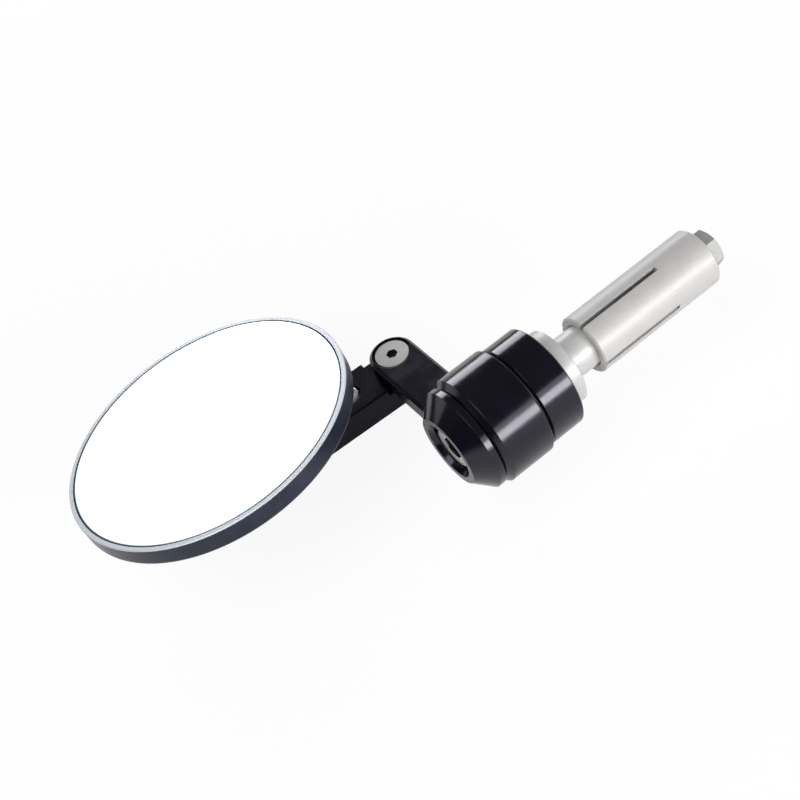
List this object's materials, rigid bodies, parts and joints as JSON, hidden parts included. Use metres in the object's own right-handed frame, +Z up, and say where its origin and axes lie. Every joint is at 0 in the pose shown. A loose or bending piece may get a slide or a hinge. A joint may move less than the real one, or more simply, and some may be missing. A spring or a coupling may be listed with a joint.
{
  "type": "bar end mirror",
  "caption": "Motorcycle bar end mirror: slotted expanding bar plug, turned weight and end cap, swivel ring with a folding arm, and a ball-jointed round mirror.",
  "frame": {"origin": "middle of the collar face that seats on the end of the handlebar", "axes": "+X along the bar's axis into the handlebar; +Y along the arm from the bar to the fold pivot; +Z up the fold pivot, the way its screw head faces"},
  "size_m": [0.1766, 0.1108, 0.0441],
  "materials": {
    "sleeve_aluminium": "bright satin, turned",
    "silver_aluminium": "bright, turned",
    "black_turned": "gloss black anodised, turned",
    "black_ring": "satin black anodised",
    "black_stem": "satin black anodised",
    "bright_steel": "stainless",
    "dark_steel": "blackened",
    "ball_steel": "polished",
    "dark_polymer": "matt",
    "pale_polymer": "matt",
    "housing_blue_black": "satin anodised, pale bezel",
    "foam": "matt foam",
    "mirror_glass": "polished, ground edge"
  },
  "bodies": {
    "bar_end": {"expander_sleeve": "sleeve_aluminium", "spigot": "silver_aluminium", "bar_weight": "black_turned", "end_cap": "black_turned", "clamp_bolt": "bright_steel", "bolt_washer": "bright_steel", "expander_nut": "bright_steel", "swivel_bush": "pale_polymer", "rear_washer": "dark_polymer", "front_shim": "dark_polymer"},
    "arm": {"arm_ring": "black_ring", "pivot_screw": "bright_steel", "pivot_washer": "dark_polymer", "pivot_nut": "dark_steel"},
    "stem": {"mirror_stem": "black_stem", "clamp_strap": "black_stem", "front_clamp_screw": "bright_steel", "rear_clamp_screw": "bright_steel"},
    "socket_liner": {"ball_liner": "pale_polymer"},
    "mirror": {"ball_stud": "ball_steel", "stud_nut": "dark_steel", "mirror_shell": "housing_blue_black", "glass_pad": "foam", "mirror_glass": "mirror_glass"}
  },
  "joints": [
    {"name": "ring_swivel", "type": "hinge", "parent": "bar_end", "child": "arm", "pos_m": [-0.0236, 0, 0], "axis": [1, 0, 0], "continuous": true},
    {"name": "stem_fold", "type": "hinge", "parent": "arm", "child": "stem", "pos_m": [-0.0236, 0.0494, -0.0195], "axis": [0, 0, 1], "range_deg": [-117, 8]},
    {"name": "mirror_tilt", "type": "hinge", "parent": "stem", "child": "socket_liner", "pos_m": [-0.07818, 0.04936, -0.0189], "axis": [1, 0, 0], "range_deg": [-6, 25]},
    {"name": "mirror_swing", "type": "hinge", "parent": "socket_liner", "child": "mirror", "pos_m": [-0.07818, 0.04936, -0.0189], "axis": [0, 0.9857, -0.1685], "range_deg": [-13, 18]}
  ]
}
